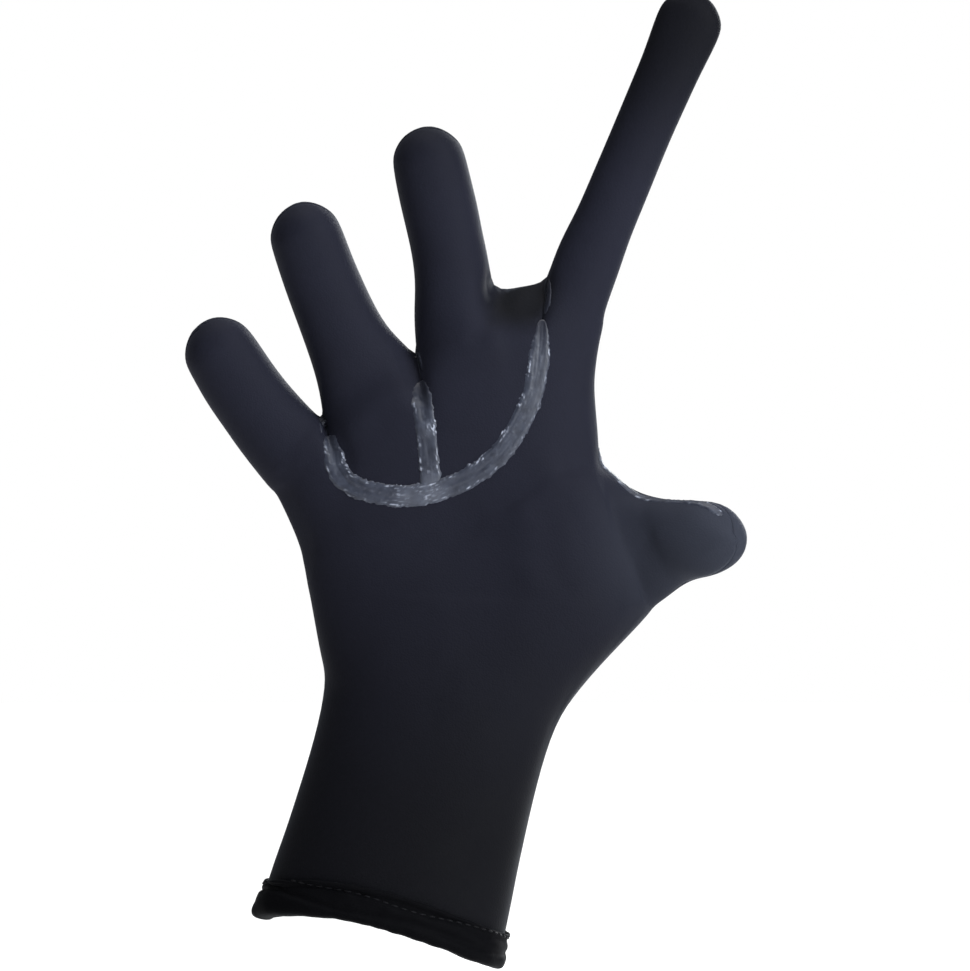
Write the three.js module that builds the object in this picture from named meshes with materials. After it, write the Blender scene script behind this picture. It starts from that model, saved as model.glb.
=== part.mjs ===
// A right-hand neoprene diving glove, worn shape, palm towards -Y, fingers up +Z, thumb towards +X.
// The origin is the middle of the cuff's opening. Lengths are millimetres, angles are degrees.

import * as THREE from 'three';

// Driving sizes of the cloth and its seams
const WALL = 3;
const CROTCH_WALL = 2;
const SEAM_GAP = 0.3;
const SEAL_LIFT = 0.4;
const SEALS = {
  palm: { width: 7.4, thickness: 0.8 },
  thumb: { width: 4, thickness: 0.8 },
  gap: { width: 2.6, thickness: 0.5 },
};

// Driving sizes of the cuff, and of its sewn hem
const CUFF_LENGTH = 77.7;
const CUFF_LEAN = 15;
const CUFF_WIDTH = 79.3;
const CUFF_DEPTH = 58;
const CUFF_ARCH = 6.8;
const WRIST_WIDTH = 76.2;
const WRIST_DEPTH = 50;
const HEM_HEIGHT = 9.6;
const HEM_THICKNESS = 1.5;
const HEM_ROLL = 2.1;
const HEM_INSIDE = 6;
const HEM_CLEARANCE = 0.35;

// Driving sizes of the hand
const PALM_LENGTH = 115;
const PALM_WIDTH = 111;
const PALM_DEPTH = 42;
const PALM_ROUNDNESS = 2.3;
const FINGER_ROUNDNESS = 2.15;
const KNUCKLE_BLEND = 9;
const WEB_RECESS = 2.5;

// Shaping of the palm side: how far it stands out there, and its place and spread,
// across from the middle, at 0, to the side, at 1, and up from the wrist, at 0, to the palm seam, at 1
const PALM_SHAPES = [
  { name: 'hollow', stands: -2.4, across: 0.05, acrossSpread: 0.45, up: 0.7, upSpread: 0.28 },
  { name: 'thumbMound', stands: 3.5, across: 0.55, acrossSpread: 0.3, up: 0.42, upSpread: 0.25 },
];

// Depth of the thumb's mouth before and behind the middle of the hand, as shares of half the thumb's depth
const THUMB_MOUTH = { front: 1.2, back: 0.8 };

// Each finger: length from the crotches, width, depth, lean from upright, forward curl, round end and wall
const FINGERS = {
  little: { length: 48.3, width: 25, depth: 23, lean: -35.8, curl: 9, round: 11.7, wall: WALL },
  ring: { length: 62.4, width: 25, depth: 24, lean: -22.5, curl: 12, round: 11.7, wall: WALL },
  middle: { length: 61.8, width: 25, depth: 24.5, lean: -9.5, curl: 11, round: 11.5, wall: WALL },
  index: { length: 105.6, width: 20, depth: 16, lean: 21.9, curl: -4, round: 11.5, wall: 2 },
  thumb: { length: 35, width: 25, depth: 25, lean: 91.3, curl: 24, round: 12, wall: WALL },
};

// Grid of the hand's skin: six cells across a finger, two across the web beside the index finger
const FINGER_CELLS = 6;
const WEB_CELLS = 2;
const COLUMN = {
  littleSide: 0,
  littleRing: FINGER_CELLS,
  ringMiddle: 2 * FINGER_CELLS,
  middleWeb: 3 * FINGER_CELLS,
  webIndex: 3 * FINGER_CELLS + WEB_CELLS,
  indexSide: 4 * FINGER_CELLS + WEB_CELLS,
};

// Cross rows of the cuff: height and arch are shares of its length and arch.
// Its width and depth go from those of the wrist, at 0, to those of the opening, at 1.
const CUFF_ROWS = [
  { name: 'rim', cells: 1, height: 0, width: 1, depth: 1, tilt: -11.8, arch: 1 },
  { name: 'hemTop', cells: 3, height: 0.13, width: 0.85, depth: 0.88, tilt: -12.6, arch: 0.85 },
  { name: 'midCuff', cells: 2, height: 0.52, width: -0.3, depth: 0.4, tilt: -11.2, arch: 0.2 },
  { name: 'wrist', cells: 2, height: 1, width: 0, depth: 0, tilt: -9.8, arch: 0 },
];

// Cross rows above the wrist: heights are shares of PALM_LENGTH,
// offsets and widths of PALM_WIDTH, and depths of PALM_DEPTH
const PALM_ROWS = [
  { name: 'heel', cells: 1, height: 0.165, offset: 0.069, width: 0.856, tilt: -2.9, depth: 1.08 },
  { name: 'thumbLow', cells: FINGER_CELLS, height: 0.284, offset: 0.12, width: 1, tilt: -1.8, depth: 1 },
  { name: 'thumbHigh', cells: 3, height: 0.565, offset: 0.031, width: 0.921, tilt: 16.2, depth: 0.88 },
  { name: 'seam', cells: 5, height: 0.752, offset: -0.016, width: 0.996, tilt: 18.9, depth: 0.82 },
  { name: 'knuckle', cells: 0, height: 0.887, offset: -0.025, width: 1.126, tilt: 25.2, depth: 0.8 },
];

// Points of the row where the fingers part, as shares of that row's width: along it, and above it
const KNUCKLE_POINTS = [
  { at: COLUMN.littleSide, along: 0, above: 0 },
  { at: COLUMN.littleRing, along: 0.214, above: 0.063 },
  { at: COLUMN.ringMiddle, along: 0.505, above: 0.113 },
  { at: COLUMN.middleWeb, along: 0.767, above: 0.188 },
  { at: COLUMN.webIndex, along: 0.9, above: 0.148 },
  { at: COLUMN.indexSide, along: 1, above: 0 },
];

// Points of the row that holds the U-shaped palm seam between littleRing and webIndex, in the same shares
const SEAM_POINTS = [
  { at: COLUMN.littleSide, along: 0, above: 0 },
  { at: COLUMN.littleRing, along: 0.206, above: 0.02 },
  { at: COLUMN.littleRing + 1, along: 0.228, above: -0.047 },
  { at: COLUMN.littleRing + 3, along: 0.303, above: -0.103 },
  { at: COLUMN.ringMiddle, along: 0.442, above: -0.143 },
  { at: COLUMN.ringMiddle + 3, along: 0.596, above: -0.131 },
  { at: COLUMN.middleWeb, along: 0.738, above: -0.05 },
  { at: COLUMN.webIndex, along: 0.826, above: 0.044 },
  { at: COLUMN.indexSide, along: 1, above: 0 },
];

// Half-widths and half-depth of each finger at shares of its length, as shares of half its width and depth
const FINGER_SECTIONS = {
  little: [
    { at: 0, left: 1.12, right: 1.12, depth: 1 },
    { at: 0.17, left: 1.13, right: 0.98, depth: 1 },
    { at: 0.35, left: 1.12, right: 0.89, depth: 1 },
    { at: 0.6, left: 1.09, right: 0.89, depth: 0.98 },
    { at: 0.76, left: 1.01, right: 0.9, depth: 0.94 },
  ],
  ring: [
    { at: 0, left: 1.25, right: 1.45, depth: 1 },
    { at: 0.17, left: 1.18, right: 1.1, depth: 1 },
    { at: 0.35, left: 1.12, right: 0.95, depth: 1 },
    { at: 0.6, left: 1.065, right: 0.895, depth: 0.98 },
    { at: 0.81, left: 0.98, right: 0.91, depth: 0.94 },
  ],
  middle: [
    { at: 0, left: 1.06, right: 1.2, depth: 1 },
    { at: 0.17, left: 0.9, right: 1.144, depth: 1 },
    { at: 0.35, left: 0.835, right: 1.1, depth: 1 },
    { at: 0.6, left: 0.9, right: 1.06, depth: 0.98 },
    { at: 0.81, left: 0.935, right: 0.96, depth: 0.94 },
  ],
  index: [
    { at: 0, left: 1.3, right: 1.09, depth: 1.1 },
    { at: 0.1, left: 1.13, right: 1, depth: 1.05 },
    { at: 0.25, left: 1, right: 0.98, depth: 1 },
    { at: 0.5, left: 0.93, right: 0.99, depth: 0.94 },
    { at: 0.75, left: 0.9, right: 1.1, depth: 0.84 },
    { at: 0.89, left: 0.96, right: 1.22, depth: 0.74 },
  ],
  thumb: [
    { at: -0.24, left: 1.92, right: 2.7, depth: 1.1 },
    { at: 0, left: 1.26, right: 2.6, depth: 1.1 },
    { at: 0.24, left: 1.05, right: 1.9, depth: 1.04 },
    { at: 0.42, left: 0.98, right: 1.43, depth: 1 },
    { at: 0.58, left: 0.97, right: 1.12, depth: 0.96 },
    { at: 0.68, left: 1, right: 1, depth: 0.92 },
  ],
};

// Cells along each finger up to its round end, and the angles of the rings round that end
const FINGER_LENGTH_CELLS = { little: 4, ring: 5, middle: 5, index: 8, thumb: 4 };
const ROUND_END_ANGLES = [30, 58, 80];
const END_ROUNDNESS = 2.4;

// Shares of a finger's length over which it leaves its root's outline, facing and wall, and its curl's power
const ROOT_BLEND = 0.2;
const FACING_BLEND = 0.6;
const WALL_BLEND = 0.3;
const CURL_POWER = 1.6;

// Powers that move the top of the cuff's arch off its middle, and flatten that top
const ARCH_SKEW = 0.8;
const ARCH_FLATNESS = 0.9;

const UP = new THREE.Vector3(0, 0, 1);
const FORWARD = new THREE.Vector3(0, -1, 0);

function radians(degrees) {
  return THREE.MathUtils.degToRad(degrees);
}

function mix(from, to, share) {
  return from + (to - from) * share;
}

function smooth(share) {
  return THREE.MathUtils.smoothstep(share, 0, 1);
}

// Shares from 0 to 1 that lie close together at both ends, as the points of a round section do
function roundShare(cell, cells) {
  return (1 - Math.cos((Math.PI * cell) / cells)) / 2;
}

// Half-depth of a rounded section at a share from 0, its middle, to 1, its side
function roundDepth(share, roundness) {
  return Math.pow(Math.max(0, 1 - Math.pow(Math.abs(share), roundness)), 1 / roundness);
}

// Reads one column of a table at any place along it, as a smooth curve that never overshoots its rows
function follow(table, column, at) {
  const last = table.length - 1;
  if (at <= table[0].at) return table[0][column];
  if (at >= table[last].at) return table[last][column];
  const i = table.findIndex((row, k) => k < last && at <= table[k + 1].at);
  const rise = (k) => (table[k + 1][column] - table[k][column]) / (table[k + 1].at - table[k].at);
  const slope = (k) => {
    if (k === 0) return rise(0);
    if (k === last) return rise(last - 1);
    const [before, after] = [rise(k - 1), rise(k)];
    return before * after > 0 ? (2 * before * after) / (before + after) : 0;
  };
  const span = table[i + 1].at - table[i].at;
  const t = (at - table[i].at) / span;
  const start = table[i][column] * (2 * t ** 3 - 3 * t ** 2 + 1);
  const end = table[i + 1][column] * (3 * t ** 2 - 2 * t ** 3);
  return start + end + span * (slope(i) * (t ** 3 - 2 * t ** 2 + t) + slope(i + 1) * (t ** 3 - t ** 2));
}

// The skin: shared points of the outer surface, the wall behind each, and faces that belong to a panel
const points = [];
const walls = [];
const faces = [];

function addPoint(position, wall = WALL) {
  points.push(position);
  walls.push(wall);
  return points.length - 1;
}

// Key rows with their place, ends and depth in millimetres
function keyRows() {
  const lean = new THREE.Vector3(Math.sin(radians(CUFF_LEAN)), 0, Math.cos(radians(CUFF_LEAN)));
  const wrist = lean.clone().multiplyScalar(CUFF_LENGTH);
  const cuff = CUFF_ROWS.map((row) => ({
    ...row,
    centre: lean.clone().multiplyScalar(CUFF_LENGTH * row.height),
    width: mix(WRIST_WIDTH, CUFF_WIDTH, row.width),
    depth: mix(WRIST_DEPTH, CUFF_DEPTH, row.depth),
    arch: CUFF_ARCH * row.arch,
  }));
  const palm = PALM_ROWS.map((row) => ({
    ...row,
    centre: wrist.clone().add(new THREE.Vector3(PALM_WIDTH * row.offset, 0, PALM_LENGTH * row.height)),
    width: PALM_WIDTH * row.width,
    depth: PALM_DEPTH * row.depth,
    arch: 0,
  }));
  const rows = [...cuff, ...palm];
  let at = 0;
  for (const row of rows) {
    const half = new THREE.Vector3(Math.cos(radians(row.tilt)), 0, Math.sin(radians(row.tilt)));
    half.multiplyScalar(row.width / 2);
    row.at = at;
    row.leftX = row.centre.x - half.x;
    row.leftZ = row.centre.z - half.z;
    row.rightX = row.centre.x + half.x;
    row.rightZ = row.centre.z + half.z;
    at += row.cells;
  }
  return rows;
}

const ROWS = keyRows();
const ROW = Object.fromEntries(ROWS.map((row) => [row.name, row.at]));
const COLUMNS = COLUMN.indexSide;

// Ends of any row. Along the thumb's mouth the right end runs straight from its low to its high corner.
function rowEnds(row) {
  const left = new THREE.Vector3(follow(ROWS, 'leftX', row), 0, follow(ROWS, 'leftZ', row));
  if (row > ROW.thumbLow && row < ROW.thumbHigh) {
    const [low, high] = [rowEnds(ROW.thumbLow).right, rowEnds(ROW.thumbHigh).right];
    return { left, right: low.lerp(high, roundShare(row - ROW.thumbLow, FINGER_CELLS)) };
  }
  return { left, right: new THREE.Vector3(follow(ROWS, 'rightX', row), 0, follow(ROWS, 'rightZ', row)) };
}

// Places of the columns inside one finger's width are spaced as on a round section
function knuckleShare(column, key) {
  const next = KNUCKLE_POINTS.findIndex((point) => column <= point.at);
  if (next <= 0) return KNUCKLE_POINTS[0][key];
  const [from, to] = [KNUCKLE_POINTS[next - 1], KNUCKLE_POINTS[next]];
  return mix(from[key], to[key], roundShare(column - from.at, to.at - from.at));
}

function rowPoint(row, column) {
  const { left, right } = rowEnds(row);
  const across = right.clone().sub(left);
  const above = new THREE.Vector3(-across.z, 0, across.x);
  const even = roundShare(column, COLUMNS);
  let share = even;
  let lift = 0;
  if (row > ROW.thumbLow && row <= ROW.seam) {
    const turn = (row - ROW.thumbLow) / (ROW.seam - ROW.thumbLow);
    share = mix(even, follow(SEAM_POINTS, 'along', column), smooth(turn));
    lift = follow(SEAM_POINTS, 'above', column) * turn ** 2;
  }
  if (row > ROW.seam) {
    const turn = (row - ROW.seam) / (ROW.knuckle - ROW.seam);
    share = mix(follow(SEAM_POINTS, 'along', column), knuckleShare(column, 'along'), turn);
    lift = mix(follow(SEAM_POINTS, 'above', column), knuckleShare(column, 'above'), turn);
  }
  const place = left.addScaledVector(across, share).addScaledVector(above, lift);
  const arch = Math.pow(Math.sin(Math.PI * Math.pow(share, ARCH_SKEW)), ARCH_FLATNESS);
  return { place: place.addScaledVector(UP, follow(ROWS, 'arch', row) * arch), share };
}

// The finger group that a column lies in, with its share across that finger from -1 to 1
function fingerAcross(column) {
  const starts = [COLUMN.littleSide, COLUMN.littleRing, COLUMN.ringMiddle, COLUMN.webIndex];
  const names = ['little', 'ring', 'middle', 'index'];
  const group = starts.findIndex((start) => column >= start && column <= start + FINGER_CELLS);
  if (group < 0) return { depth: 0, across: 1 };
  const across = 2 * roundShare(column - starts[group], FINGER_CELLS) - 1;
  return { depth: FINGERS[names[group]].depth / 2, across };
}

// Depth of the skin in front of (side 1) or behind (side -1) the middle of the hand
function skinDepth(row, column, share, side, toKnuckles) {
  const half = follow(ROWS, 'depth', row) / 2;
  const across = 2 * share - 1;
  let depth = half * roundDepth(across, PALM_ROUNDNESS);
  if (row > ROW.thumbLow && row < ROW.thumbHigh && across > 0) {
    const mouth = Math.sin((Math.PI * (row - ROW.thumbLow)) / FINGER_CELLS);
    const open = (side > 0 ? THUMB_MOUTH.front : THUMB_MOUTH.back) * (FINGERS.thumb.depth / 2) * mouth;
    depth = Math.pow(depth ** 2 + (open * across ** 2) ** 2, 0.5);
  }
  if (side > 0) {
    const rise = (row - ROW.wrist) / (ROW.seam - ROW.wrist);
    for (const shape of PALM_SHAPES) {
      const aside = (across - shape.across) / shape.acrossSpread;
      const away = (rise - shape.up) / shape.upSpread;
      depth += shape.stands * Math.exp(-(aside ** 2) - away ** 2);
    }
  }
  const finger = fingerAcross(column);
  const scallop = finger.depth * roundDepth(finger.across, FINGER_ROUNDNESS);
  return mix(depth, scallop, Math.exp(-toKnuckles / KNUCKLE_BLEND));
}

function isInWeb(column) {
  return column >= COLUMN.middleWeb && column <= COLUMN.webIndex;
}

function isCrotch(column) {
  return column === COLUMN.littleRing || column === COLUMN.ringMiddle || isInWeb(column);
}

// Front and back skin of the cuff and palm, which share their points along the outline and at the crotches
function handSkin() {
  const skin = { front: [], back: [] };
  for (let row = 0; row <= ROW.knuckle; row += 1) {
    const front = [];
    const back = [];
    for (let column = 0; column <= COLUMNS; column += 1) {
      const { place, share } = rowPoint(row, column);
      const toKnuckles = place.distanceTo(rowPoint(ROW.knuckle, column).place);
      const recess = isInWeb(column) ? WEB_RECESS * Math.exp(-toKnuckles / KNUCKLE_BLEND) : 0;
      place.addScaledVector(FORWARD, -recess);
      const inMouth = row > ROW.thumbLow && row < ROW.thumbHigh && column === COLUMNS;
      const onSide = (column === 0 || column === COLUMNS) && !inMouth;
      const onCrotch = row === ROW.knuckle && isCrotch(column);
      if (onSide || onCrotch) {
        front.push(addPoint(place, onCrotch ? CROTCH_WALL : WALL));
        back.push(front[column]);
        continue;
      }
      const ahead = skinDepth(row, column, share, 1, toKnuckles);
      const behind = skinDepth(row, column, share, -1, toKnuckles);
      front.push(addPoint(place.clone().addScaledVector(FORWARD, ahead)));
      back.push(addPoint(place.clone().addScaledVector(FORWARD, -behind)));
    }
    skin.front.push(front);
    skin.back.push(back);
  }
  return skin;
}

function fingerPanel(name, side) {
  return name === 'thumb' ? `thumb_${side}` : `${name}_finger_${side}`;
}

// Panel that a front cell belongs to: the two set-in finger fronts lie inside the U-shaped seam
function frontPanel(row, column) {
  if (row < ROW.wrist) return 'cuff_front';
  if (row < ROW.seam || column < COLUMN.littleRing || column >= COLUMN.webIndex) return 'palm';
  return fingerPanel(column < COLUMN.ringMiddle ? 'ring' : 'middle', 'front');
}

function backPanel(row) {
  return row < ROW.wrist ? 'cuff_back' : 'back_of_hand';
}

function handFaces(skin) {
  for (let row = 0; row < ROW.knuckle; row += 1) {
    for (let column = 0; column < COLUMNS; column += 1) {
      const corners = (sheet) => [
        sheet[row][column],
        sheet[row][column + 1],
        sheet[row + 1][column + 1],
        sheet[row + 1][column],
      ];
      faces.push({ panel: frontPanel(row, column), corners: corners(skin.front) });
      faces.push({ panel: backPanel(row), corners: corners(skin.back).reverse() });
    }
  }
}

// A finger grown from its base ring, front points from left to right and then back points from right to left
function growFinger(name, base) {
  const size = FINGERS[name];
  const table = FINGER_SECTIONS[name];
  const left = points[base[0]];
  const right = points[base[FINGER_CELLS]];
  const root = left.clone().add(right).multiplyScalar(0.5);
  const along = new THREE.Vector3(Math.sin(radians(size.lean)), 0, Math.cos(radians(size.lean)));
  const across = new THREE.Vector3(along.z, 0, -along.x);
  const roundStart = 1 - size.round / size.length;
  const axisPoint = (share) =>
    root
      .clone()
      .addScaledVector(along, size.length * share)
      .addScaledVector(FORWARD, size.curl * Math.max(0, share) ** CURL_POWER);
  const shares = [];
  const bodyCells = FINGER_LENGTH_CELLS[name];
  for (let cell = 1; cell <= bodyCells; cell += 1) shares.push((roundStart * cell) / bodyCells);
  for (const angle of ROUND_END_ANGLES) shares.push(mix(roundStart, 1, Math.sin(radians(angle))));
  const startOf = (point) => point.clone().sub(root).dot(along) / size.length;
  const edge = (key, sign, start, share) => {
    const corner = sign < 0 ? left : right;
    const at = mix(start, 1, share);
    const charted = follow(table, key, at) * (size.width / 2);
    const own = Math.abs(corner.clone().sub(root).dot(across));
    const round = roundDepth(Math.max(0, (at - roundStart) / (1 - roundStart)), 2);
    const half = mix(own, charted, smooth(share / ROOT_BLEND)) * round;
    return axisPoint(at).addScaledVector(across, sign * half);
  };
  const rings = [base];
  for (const share of shares) {
    const from = edge('left', -1, startOf(left), share);
    const to = edge('right', 1, startOf(right), share);
    const middle = from.clone().add(to).multiplyScalar(0.5);
    const half = to.clone().sub(from).multiplyScalar(0.5);
    const tangent = axisPoint(share + 0.01).sub(axisPoint(share));
    const square = across.clone().cross(tangent).normalize();
    const facing = FORWARD.clone().lerp(square, smooth(share / FACING_BLEND)).normalize();
    const round = roundDepth(Math.max(0, (share - roundStart) / (1 - roundStart)), END_ROUNDNESS);
    const depth = (follow(table, 'depth', share) * size.depth * round) / 2;
    const ring = [];
    for (let i = 0; i < 2 * FINGER_CELLS; i += 1) {
      const angle = (Math.PI * i) / FINGER_CELLS;
      const shape = (value) => Math.sign(value) * Math.pow(Math.abs(value), 2 / FINGER_ROUNDNESS);
      const place = middle
        .clone()
        .addScaledVector(half, -shape(Math.cos(angle)))
        .addScaledVector(facing, depth * shape(Math.sin(angle)));
      ring.push(addPoint(place, mix(WALL, size.wall, smooth(share / WALL_BLEND))));
    }
    rings.push(ring);
  }
  const tip = addPoint(axisPoint(1), size.wall);
  const count = 2 * FINGER_CELLS;
  for (let k = 0; k < rings.length; k += 1) {
    for (let i = 0; i < count; i += 1) {
      const panel = fingerPanel(name, i < FINGER_CELLS ? 'front' : 'back');
      const next = (i + 1) % count;
      const top = k + 1 < rings.length ? [rings[k + 1][next], rings[k + 1][i]] : [tip];
      faces.push({ panel, corners: [rings[k][i], rings[k][next], ...top] });
    }
  }
  return {
    leftSeam: rings.map((ring) => ring[0]),
    rightSeam: rings.map((ring) => ring[FINGER_CELLS]),
  };
}

function fingerBase(skin, from) {
  const front = skin.front[ROW.knuckle].slice(from, from + FINGER_CELLS + 1);
  const back = skin.back[ROW.knuckle].slice(from + 1, from + FINGER_CELLS).reverse();
  return [...front, ...back];
}

function thumbBase(skin) {
  const rows = skin.front.slice(ROW.thumbLow, ROW.thumbHigh + 1);
  const front = rows.map((row) => row[COLUMNS]).reverse();
  const back = skin.back.slice(ROW.thumbLow + 1, ROW.thumbHigh).map((row) => row[COLUMNS]);
  return [...front, ...back];
}

const skin = handSkin();
handFaces(skin);
const grown = {
  little: growFinger('little', fingerBase(skin, COLUMN.littleSide)),
  ring: growFinger('ring', fingerBase(skin, COLUMN.littleRing)),
  middle: growFinger('middle', fingerBase(skin, COLUMN.ringMiddle)),
  index: growFinger('index', fingerBase(skin, COLUMN.webIndex)),
  thumb: growFinger('thumb', thumbBase(skin)),
};

// Each face as triangles, a four-cornered one split along its shorter diagonal
function trianglesOf(corners) {
  if (corners.length === 3) return [corners];
  const [a, b, c, d] = corners;
  const along = points[a].distanceTo(points[c]) <= points[b].distanceTo(points[d]);
  return along ? [[a, b, c], [a, c, d]] : [[a, b, d], [b, c, d]];
}

function faceNormal([a, b, c]) {
  return points[b].clone().sub(points[a]).cross(points[c].clone().sub(points[a]));
}

const normals = points.map(() => new THREE.Vector3());
for (const face of faces) {
  for (const triangle of trianglesOf(face.corners)) {
    const normal = faceNormal(triangle);
    for (const corner of triangle) normals[corner].add(normal);
  }
}
for (const normal of normals) normal.normalize();

function geometryOf(positions, triangles) {
  const geometry = new THREE.BufferGeometry();
  const numbers = positions.flatMap((position) => position.toArray());
  geometry.setAttribute('position', new THREE.Float32BufferAttribute(numbers, 3));
  geometry.setIndex(triangles.flat());
  return geometry;
}

// Edges that only one face of a panel uses, each in the direction in which that face goes round
function openEdges(panelFaces) {
  const edges = new Map();
  for (const { corners } of panelFaces) {
    corners.forEach((from, k) => {
      const to = corners[(k + 1) % corners.length];
      if (!edges.delete(`${to} ${from}`)) edges.set(`${from} ${to}`, [from, to]);
    });
  }
  return [...edges.values()];
}

// A panel of cloth: its outer face, its inner face one wall behind, and its cut edge, half a seam gap in
function panelGeometry(name) {
  const panelFaces = faces.filter((face) => face.panel === name);
  const edges = openEdges(panelFaces);
  const inward = new Map();
  for (const [from, to] of edges) {
    const direction = points[to].clone().sub(points[from]);
    for (const corner of [from, to]) {
      const side = normals[corner].clone().cross(direction).normalize();
      inward.set(corner, (inward.get(corner) ?? new THREE.Vector3()).add(side));
    }
  }
  const outer = new Map();
  const positions = [];
  const used = new Set(panelFaces.flatMap((face) => face.corners));
  for (const corner of used) {
    const shift = new THREE.Vector3();
    if (inward.has(corner)) {
      const side = inward.get(corner);
      shift.copy(side).multiplyScalar(SEAM_GAP / Math.max(side.lengthSq(), 0.5));
    }
    outer.set(corner, positions.length);
    const place = points[corner].clone().add(shift);
    positions.push(place, place.clone().addScaledVector(normals[corner], -walls[corner]));
  }
  const triangles = [];
  for (const face of panelFaces) {
    for (const [a, b, c] of trianglesOf(face.corners)) {
      triangles.push([outer.get(a), outer.get(b), outer.get(c)]);
      triangles.push([outer.get(c) + 1, outer.get(b) + 1, outer.get(a) + 1]);
    }
  }
  for (const [from, to] of edges) {
    const [a, b] = [outer.get(from), outer.get(to)];
    if (from < to) triangles.push([a, a + 1, b + 1], [a, b + 1, b]);
    else triangles.push([a, a + 1, b], [a + 1, b + 1, b]);
  }
  return geometryOf(positions, triangles);
}

// A solid through a row of like rings; an open one is capped by rungs between its lower and its upper points
function ringSolid(rings, closed) {
  const count = rings[0].length;
  const triangles = [];
  const lastRing = closed ? rings.length : rings.length - 1;
  for (let k = 0; k < lastRing; k += 1) {
    const [here, there] = [k * count, ((k + 1) % rings.length) * count];
    for (let i = 0; i < count; i += 1) {
      const next = (i + 1) % count;
      triangles.push([here + i, here + next, there + next], [here + i, there + next, there + i]);
    }
  }
  if (!closed) {
    const end = (rings.length - 1) * count;
    for (let i = 0; i < count / 2 - 1; i += 1) {
      const [low, high] = [i, count - 1 - i];
      triangles.push([low, high, high - 1], [low, high - 1, low + 1]);
      triangles.push([end + low, end + high - 1, end + high], [end + low, end + low + 1, end + high - 1]);
    }
  }
  return geometryOf(rings.flat(), triangles);
}

// Whole outer skin, which the sealant is laid on
const skinMesh = new THREE.Mesh(
  geometryOf(points, faces.flatMap((face) => trianglesOf(face.corners))),
  new THREE.MeshBasicMaterial({ side: THREE.DoubleSide }),
);
const SEAL_SECTION = [
  { across: -1, thickness: 0.45 },
  { across: -0.55, thickness: 0.95 },
  { across: 0, thickness: 1 },
  { across: 0.55, thickness: 0.95 },
  { across: 1, thickness: 0.45 },
];
const SEAL_STEP = 2.8;

// Height from which a strip's points are dropped on the skin, as a share of its width
const SEAL_DROP = 0.8;

// The skin straight below a place above it, seen along a normal: where it lies, and which way it faces
function skinBelow(place, normal, drop) {
  const start = place.clone().addScaledVector(normal, drop);
  const [hit] = new THREE.Raycaster(start, normal.clone().negate()).intersectObject(skinMesh);
  const facing = hit.face.normal.clone();
  if (facing.dot(normal) < 0) facing.negate();
  return { place: hit.point, facing: facing.add(normal).normalize() };
}

// A strip of sealant brushed along a route of skin points, with a ring at least every SEAL_STEP
function sealGeometry(route, { width, thickness }) {
  const frames = route.map((corner, k) => {
    const before = points[route[Math.max(0, k - 1)]];
    const after = points[route[Math.min(route.length - 1, k + 1)]];
    const normal = normals[corner];
    const across = normal.clone().cross(after.clone().sub(before)).normalize();
    return { place: points[corner], normal, across };
  });
  const stations = [frames[0]];
  for (let k = 1; k < frames.length; k += 1) {
    const steps = Math.ceil(frames[k - 1].place.distanceTo(frames[k].place) / SEAL_STEP);
    for (let step = 1; step <= steps; step += 1) {
      const between = (key) => frames[k - 1][key].clone().lerp(frames[k][key], step / steps);
      const [normal, across] = [between('normal').normalize(), between('across').normalize()];
      stations.push({ place: between('place'), normal, across });
    }
  }
  const rings = stations.map(({ place, normal, across }) => {
    const lower = [];
    const upper = [];
    for (const spot of SEAL_SECTION) {
      const beside = place.clone().addScaledVector(across, (spot.across * width) / 2);
      const isMiddle = spot.across === 0;
      const below = isMiddle ? { place, facing: normal } : skinBelow(beside, normal, SEAL_DROP * width);
      lower.push(below.place.clone().addScaledVector(below.facing, SEAL_LIFT));
      const top = SEAL_LIFT + thickness * spot.thickness;
      upper.unshift(below.place.clone().addScaledVector(below.facing, top));
    }
    return [...lower, ...upper];
  });
  return ringSolid(rings, false);
}

function gridRoute(sheet, steps) {
  return steps.map(([row, column]) => sheet[row][column]);
}

function palmSealRoute() {
  const steps = [];
  const sideTop = ROW.knuckle - 2;
  for (let row = sideTop; row > ROW.seam; row -= 1) steps.push([row, COLUMN.littleRing]);
  for (let column = COLUMN.littleRing; column <= COLUMN.webIndex; column += 1) steps.push([ROW.seam, column]);
  for (let row = ROW.seam + 1; row <= sideTop; row += 1) steps.push([row, COLUMN.webIndex]);
  return gridRoute(skin.front, steps);
}

function fingerSealRoute() {
  const steps = [];
  for (let row = ROW.knuckle - 1; row > ROW.seam; row -= 1) steps.push([row, COLUMN.ringMiddle]);
  return gridRoute(skin.front, steps);
}

function thumbSealRoute() {
  const web = [skin.front[ROW.thumbHigh + 2][COLUMNS], skin.front[ROW.thumbHigh + 1][COLUMNS]];
  return [...web, ...grown.thumb.leftSeam.slice(0, -1)];
}

// Sealant on the side seams of two neighbouring fingers and round the crotch between them
function gapSealRoute(leftFinger, rightFinger) {
  const web = skin.front[ROW.knuckle];
  const from = web.indexOf(leftFinger.rightSeam[0]);
  const to = web.indexOf(rightFinger.leftSeam[0]);
  return [leftFinger.rightSeam[1], ...web.slice(from, to + 1), rightFinger.leftSeam[1]];
}

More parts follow.
